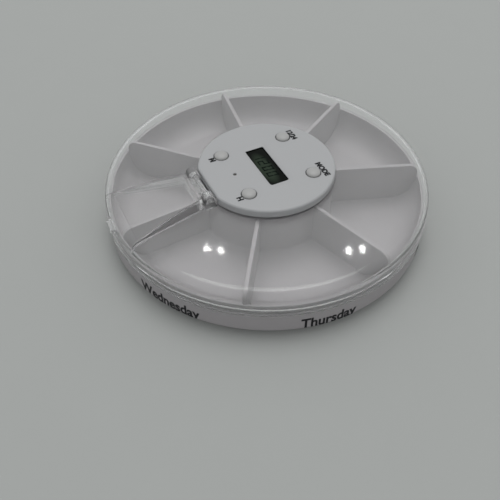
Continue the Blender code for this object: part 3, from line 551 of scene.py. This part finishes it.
# sloping recess with rounded corners around the display window
def windowDish():
    t = timer
    shape = bmesh.new()
    bmesh.ops.create_grid(shape, x_segments=1, y_segments=1, size=1.0)
    bmesh.ops.scale(shape, vec=(t["windowX"] - 0.3, t["windowY"] - 0.2, 1.0), verts=shape.verts)
    bmesh.ops.translate(shape, vec=(0, 0, t["top"] - t["dishDepth"] - 0.05), verts=shape.verts)
    pulled = bmesh.ops.extrude_face_region(shape, geom=shape.faces[:])
    verts = [item for item in pulled["geom"] if isinstance(item, bmesh.types.BMVert)]
    over = 1.2
    wide = (t["dishX"] + 2.9 * over) / (t["windowX"] - 0.3)
    deep = (t["dishY"] + 1.5 * over) / (t["windowY"] - 0.2)
    bmesh.ops.scale(shape, vec=(wide, deep, 1.0), verts=verts)
    bmesh.ops.translate(shape, vec=(0, 0, t["dishDepth"] * (1 + over) + 0.05), verts=verts)
    corners = [e for e in shape.edges if abs(e.verts[0].co.z - e.verts[1].co.z) > 0.3]
    bmesh.ops.bevel(shape, geom=corners, offset=1.3, offset_type="OFFSET", segments=5, profile=0.5,
                    affect="EDGES", material=-1)
    return shape


def windowHole():
    t = timer
    shape = box((-t["windowX"], -t["windowY"], t["top"] - 4.0), (t["windowX"], t["windowY"], t["top"] + 1.0))
    corners = [e for e in shape.edges if abs(e.verts[0].co.z - e.verts[1].co.z) > 1.0]
    bmesh.ops.bevel(shape, geom=corners, offset=0.7, offset_type="OFFSET", segments=4, profile=0.5,
                    affect="EDGES", material=-1)
    return shape


def makeFrontCase():
    t = timer
    plateUnder = t["top"] - t["plate"]
    flangeLow = t["top"] - t["flangeHeight"]
    barrel = turned([(t["bore"], t["split"], 0.1), (t["bore"], flangeLow + 0.5, 0.0),
                     (t["case"], flangeLow + 0.5, 0.0), (t["case"], t["split"], 0.2)], t["steps"])
    hollow = together([rod(t["bore"], t["split"] - 1.0, flangeLow + t["web"], steps=96)])
    pocket = rod(t["pocket"], flangeLow + t["web"], plateUnder, steps=96)
    columns = [rod(2.4, 14.9, plateUnder + 0.2, p) for p in caseScrews]
    columns += [rod(2.2, 20.6, plateUnder + 0.2, p) for p in boardScrews]
    bores = [rod(1.1, 13.0, 20.5, p, 16) for p in caseScrews]
    bores += [rod(1.1, 20.3, plateUnder - 1.0, p, 16) for p in boardScrews]
    seat = box((-t["glassX"] - 0.3, -t["glassY"] - 0.3, plateUnder - 1.0),
               (t["glassX"] + 0.3, t["glassY"] + 0.3, t["top"] - t["glassSeat"]))
    holes = []
    for point in buttonPoints.values():
        radius = t["buttonRadius"] + 0.3
        holes.append(turned([(0.0, plateUnder - 1.0, 0.0), (radius, plateUnder - 1.0, 0.0),
                             (radius, t["top"] - 0.2, 0.0), (radius + 0.4, t["top"] + 0.2, 0.0),
                             (radius + 0.4, t["top"] + 1.0, 0.0), (0.0, t["top"] + 1.0, 0.0)], 48, False, point))
    hole = t["soundHole"]
    sound = [(0.0, plateUnder - 1.0, 0.0), (hole, plateUnder - 1.0, 0.0), (hole, t["top"] - 0.15, 0.0),
             (hole + 0.3, t["top"] + 0.15, 0.0), (0.0, t["top"] + 0.15, 0.0)]
    holes.append(turned(sound, 24, False, (0.0, t["soundY"])))
    steps = [("DIFFERENCE", hollow), ("DIFFERENCE", pocket), ("UNION", barrel), ("UNION", together(columns)),
             ("DIFFERENCE", together(bores)), ("DIFFERENCE", windowDish()), ("DIFFERENCE", windowHole()),
             ("DIFFERENCE", seat), ("DIFFERENCE", together(holes))]
    shape = carve(flangePlate(), steps)
    finish("timerFront", shape, "timer", [timerWhite], 30.0, ("timer_front_case",))


def makeButtons():
    t = timer
    plateUnder = t["top"] - t["plate"]
    high = plateUnder - 0.3
    radius = t["buttonRadius"]
    for name, point in buttonPoints.items():
        profile = [(0.0, high - 0.7, 0.0), (t["buttonFlange"], high - 0.7, 0.1), (t["buttonFlange"], high, 0.1),
                   (radius, high, 0.0), (radius, t["top"] + 0.1, 0.0)]
        for i in range(1, 10):
            angle = radians(10 * i)
            profile.append((radius * cos(angle), t["top"] + 0.1 + (t["buttonRise"] - 0.1) * sin(angle), 0.0))
        profile[-1] = (0.0, t["top"] + t["buttonRise"], 0.0)
        shape = turned(profile, 64, False, point)
        finish(name + "_cap", shape, name, [buttonWhite], 40.0, (name,))


makeFrontCase()
makeButtons()
report("timer case and buttons made")


# display

display = {
    "digits": "12:00", "height": 4.4, "width": 2.5, "thick": 0.5, "pitch": 3.9, "start": -6.6, "slant": 0.1,
    "segments": {"0": "abcdef", "1": "bc", "2": "abged"},
}


def makeDisplay():
    t, d = timer, display
    low = t["glassTop"] - t["glassThickness"]
    pane = box((-t["glassX"], -t["glassY"], low), (t["glassX"], t["glassY"], t["glassTop"] - 0.02))
    bmesh.ops.bevel(pane, geom=pane.edges[:], offset=0.12, offset_type="OFFSET", segments=2, profile=0.5,
                    affect="EDGES", material=-1)
    finish("displayGlass", pane, "timer", [lcdGlass()], 30.0, ("lcd_glass",))
    half, width, thick = d["height"] / 2, d["width"] / 2, d["thick"]
    bars = {
        "a": (-width, width, half - thick, half), "g": (-width, width, -thick / 2, thick / 2),
        "d": (-width, width, -half, -half + thick), "f": (-width, -width + thick, 0.15, half),
        "b": (width - thick, width, 0.15, half), "e": (-width, -width + thick, -half, -0.15),
        "c": (width - thick, width, -half, -0.15),
    }
    parts = []
    x = d["start"]
    for letter in d["digits"]:
        if letter == ":":
            for y in (-1.0, 1.0):
                parts.append(box((x - 0.95, y - 0.25, t["glassTop"] - 0.02), (x - 0.45, y + 0.25, t["glassTop"])))
            continue
        for key in d["segments"][letter]:
            x0, x1, y0, y1 = bars[key]
            parts.append(box((x + x0, y0, t["glassTop"] - 0.02), (x + x1, y1, t["glassTop"])))
        x += d["pitch"]
    marks = together(parts)
    for vert in marks.verts:
        vert.co.x += vert.co.y * d["slant"]
    finish("displayDigits", marks, "timer", [segmentInk], 30.0, ())


# dark grey-green panel under gloss, with painted shade darkening it towards the edges of its recessed window, so
# it is brighter towards its middle
def lcdGlass():
    made = plastic("lcdGlass", (0.018, 0.026, 0.018), roughness=0.16, drift=0.5, scuff=0.06, grain=0.0,
                   specular=0.06)
    nodes, links = made.node_tree.nodes, made.node_tree.links
    shader = nodes["Principled BSDF"]
    place = nodes.new("ShaderNodeTexCoord")
    stretch = nodes.new("ShaderNodeMapping")
    stretch.inputs["Location"].default_value = (-0.08, 0.25, -12.4)
    stretch.inputs["Scale"].default_value = (90.0, 260.0, 500.0)
    links.new(place.outputs["Object"], stretch.inputs["Vector"])
    # painted shade: a spherical gradient darkens the panel's colour towards the edges of the recessed display
    # window
    paintedRecessShade = nodes.new("ShaderNodeTexGradient")
    paintedRecessShade.gradient_type = "SPHERICAL"
    links.new(stretch.outputs["Vector"], paintedRecessShade.inputs["Vector"])
    ramp = nodes.new("ShaderNodeValToRGB")
    ramp.color_ramp.elements[0].color = (0.004, 0.005, 0.004, 1)
    ramp.color_ramp.elements[1].position = 0.45
    ramp.color_ramp.elements[1].color = (0.028, 0.04, 0.027, 1)
    links.new(paintedRecessShade.outputs["Fac"], ramp.inputs["Fac"])
    links.new(ramp.outputs["Color"], shader.inputs["Base Color"])
    return made


makeDisplay()
report("display made")


# printed words

words = {
    "days": [("Tuesday", 249.0), ("Wednesday", 299.4), ("Thursday", 353.4), ("Friday", 43.3),
             ("Saturday", 94.7), ("Sunday", 146.2), ("Monday", 197.6)],
    "daySize": 7.1, "dayLow": 3.5, "dayWeight": 0.2, "dayNarrow": 0.79, "lift": 0.05,
    "keys": [("M", -11.8, -18.2, 3.1), ("H", 13.8, -18.1, 3.0), ("12/24", -12.6, 18.2, 3.0),
             ("MODE", 12.4, 18.5, 3.0)],
    "keyWeight": 0.19,
}


# flat lettering made a mesh, standing on z = 0 with its middle at x = 0
def textShape(text, size, weight, depth):
    curve = bpy.data.curves.new("lettering", "FONT")
    curve.body = text
    curve.size = size
    curve.align_x = "CENTER"
    curve.resolution_u = 6
    curve.offset = weight
    curve.extrude = depth / 2
    made = bpy.data.objects.new("lettering", curve)
    scene.collection.objects.link(made)
    bpy.context.view_layer.update()
    graph = bpy.context.evaluated_depsgraph_get()
    mesh = bpy.data.meshes.new_from_object(made.evaluated_get(graph))
    shape = bmesh.new()
    shape.from_mesh(mesh)
    bpy.data.objects.remove(made)
    bpy.data.meshes.remove(mesh)
    bmesh.ops.remove_doubles(shape, verts=shape.verts, dist=0.0005)
    return shape


def makeDayNames():
    w = words
    names = []
    for text, middle in w["days"]:
        shape = textShape(text, w["daySize"], w["dayWeight"], w["lift"])
        for cut in range(-20, 21):
            bmesh.ops.bisect_plane(shape, geom=shape.verts[:] + shape.edges[:] + shape.faces[:],
                                   plane_co=(cut * 1.0, 0, 0), plane_no=(1, 0, 0))
        for cut in range(-6, 3):
            bmesh.ops.bisect_plane(shape, geom=shape.verts[:] + shape.edges[:] + shape.faces[:],
                                   plane_co=(0, cut * 0.3, 0), plane_no=(0, 1, 0))
        radius = tray["radius"]
        for vert in shape.verts:
            angle = radians(middle) + vert.co.x * w["dayNarrow"] / radius
            high = w["dayLow"] + vert.co.y
            sloped = max(0.0, tray["footRise"] - high) * tray["footInset"] / tray["footRise"]
            out = radius - sloped + w["lift"] / 2 + vert.co.z
            vert.co = Vector((out * cos(angle), out * sin(angle), high))
        names.append(shape)
    finish("dayNames", together(names), "tray", [inkBlack], 30.0, ())


def makeKeyWords():
    w = words
    names = []
    for text, x, y, size in w["keys"]:
        shape = textShape(text, size, w["keyWeight"], 0.04)
        high = max(v.co.y for v in shape.verts)
        bmesh.ops.translate(shape, vec=(x, y - high / 2, timer["top"] + 0.012), verts=shape.verts)
        names.append(shape)
    finish("keyWords", together(names), "timer", [inkBlack], 30.0, ())


makeDayNames()
makeKeyWords()
report("words printed")


# carried-over parts

inside = {
    "timer_back_case": timerWhite,
    "battery_door": timerWhite,
    "circuit_board": plastic("boardGreen", (0.02, 0.13, 0.05), roughness=0.35, drift=0.3, scuff=0.1, coat=0.3),
    "zebra_connector": plastic("rubberGrey", (0.05, 0.05, 0.055), roughness=0.8, grain=0.4),
    "chip_cover": plastic("epoxyBlack", (0.01, 0.01, 0.01), roughness=0.3, scuff=0.2, grain=0.3),
    "crystal_can": plastic("canSteel", (0.55, 0.55, 0.55), roughness=0.3, scuff=0.2, metallic=1.0),
    "battery_cell": plastic("cellSteel", (0.58, 0.58, 0.57), roughness=0.28, scuff=0.2, metallic=1.0),
    "buzzer_plate": plastic("brass", (0.60, 0.43, 0.16), roughness=0.3, scuff=0.2, metallic=1.0),
    "buzzer_ceramic": plastic("ceramic", (0.62, 0.60, 0.55), roughness=0.5, drift=0.1),
}
screwSteel = plastic("screwSteel", (0.50, 0.50, 0.49), roughness=0.32, scuff=0.25, metallic=1.0)
springSteel = plastic("springSteel", (0.58, 0.56, 0.52), roughness=0.28, scuff=0.2, metallic=1.0)
switchBlack = plastic("switchBlack", (0.02, 0.02, 0.02), roughness=0.5, grain=0.3)
plungerCream = plastic("plungerCream", (0.60, 0.56, 0.46), roughness=0.45)

for name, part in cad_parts.items():
    chosen = inside.get(name)
    if "screw" in name:
        chosen = screwSteel
    if "contact" in name:
        chosen = springSteel
    if name.startswith("switch"):
        chosen = switchBlack
    if name.startswith("plunger"):
        chosen = plungerCream
    if chosen is None:
        continue
    if not part.data.materials:
        part.data.materials.append(chosen)
    for index in range(len(part.data.materials)):
        part.data.materials[index] = chosen
report("inner parts finished")


# stage, light and camera

stage = {
    "floorColour": (0.42, 0.43, 0.42), "worldStrength": 0.62, "worldColour": (0.98, 1.0, 1.0),
    "keyEnergy": 7.0, "keySize": 1.1, "keyPlace": (-0.35, 0.25, 1.5),
    "spotEnergy": 0.022, "spotSize": 0.012,
    "spots": [((0.0286, -0.0384, 0.0224), (-0.644, 0.239, 0.727)),
              ((0.0317, -0.0345, 0.0224), (-0.633, 0.257, 0.730)),
              ((0.0519, 0.0061, 0.0224), (-0.538, 0.434, 0.723)),
              ((0.0534, 0.0109, 0.0224), (-0.528, 0.452, 0.719))],
    "spotDistance": 1.2,
}


def makeFloor():
    shape = bmesh.new()
    bmesh.ops.create_grid(shape, x_segments=1, y_segments=1, size=3.0)
    mesh = bpy.data.meshes.new("floor")
    shape.to_mesh(mesh)
    shape.free()
    floor = bpy.data.objects.new("floor", mesh)
    scene.collection.objects.link(floor)
    made = plastic("floorGrey", stage["floorColour"], roughness=0.9, drift=0.02, scuff=0.05, grain=0.2,
                   grainScale=900.0, specular=0.2)
    mesh.materials.append(made)


def aim(lamp, place, target):
    lamp.location = place
    lamp.rotation_euler = (Vector(place) - Vector(target)).to_track_quat("Z", "Y").to_euler()


def makeLamp(name, place, target, energy, size):
    data = bpy.data.lights.new(name, "AREA")
    data.shape = "DISK"
    data.size = size
    data.energy = energy
    lamp = bpy.data.objects.new(name, data)
    scene.collection.objects.link(lamp)
    aim(lamp, place, target)


def makeLights():
    s = stage
    world = bpy.data.worlds.new("studio")
    scene.world = world
    world.use_nodes = True
    back = world.node_tree.nodes["Background"]
    back.inputs["Color"].default_value = (*s["worldColour"], 1.0)
    back.inputs["Strength"].default_value = s["worldStrength"]
    makeLamp("softOverhead", s["keyPlace"], (0, 0, 0), s["keyEnergy"], s["keySize"])
    for index, (target, way) in enumerate(s["spots"]):
        place = Vector(target) + Vector(way) * s["spotDistance"]
        makeLamp(f"smallLamp{index + 1}", place, target, s["spotEnergy"], s["spotSize"])


def makeCamera():
    data = bpy.data.cameras.new("camera")
    data.lens = 45.7
    data.sensor_width = 36.0
    data.clip_start = 0.01
    camera = bpy.data.objects.new("camera", data)
    scene.collection.objects.link(camera)
    azimuth, elevation, roll = radians(64.0), radians(46.9), radians(-0.18)
    back = Vector((sin(azimuth) * cos(elevation), -cos(azimuth) * cos(elevation), sin(elevation)))
    right = Vector((cos(azimuth), sin(azimuth), 0.0))
    up = back.cross(right)
    turn = Matrix((right, up, back)).transposed() @ Matrix.Rotation(roll, 3, "Z")
    camera.matrix_world = Matrix.Translation((0.1738, -0.0922, 0.1863)) @ turn.to_4x4()
    scene.camera = camera


makeFloor()
makeLights()
makeCamera()
scene.view_settings.view_transform = "Standard"
report("stage lit")
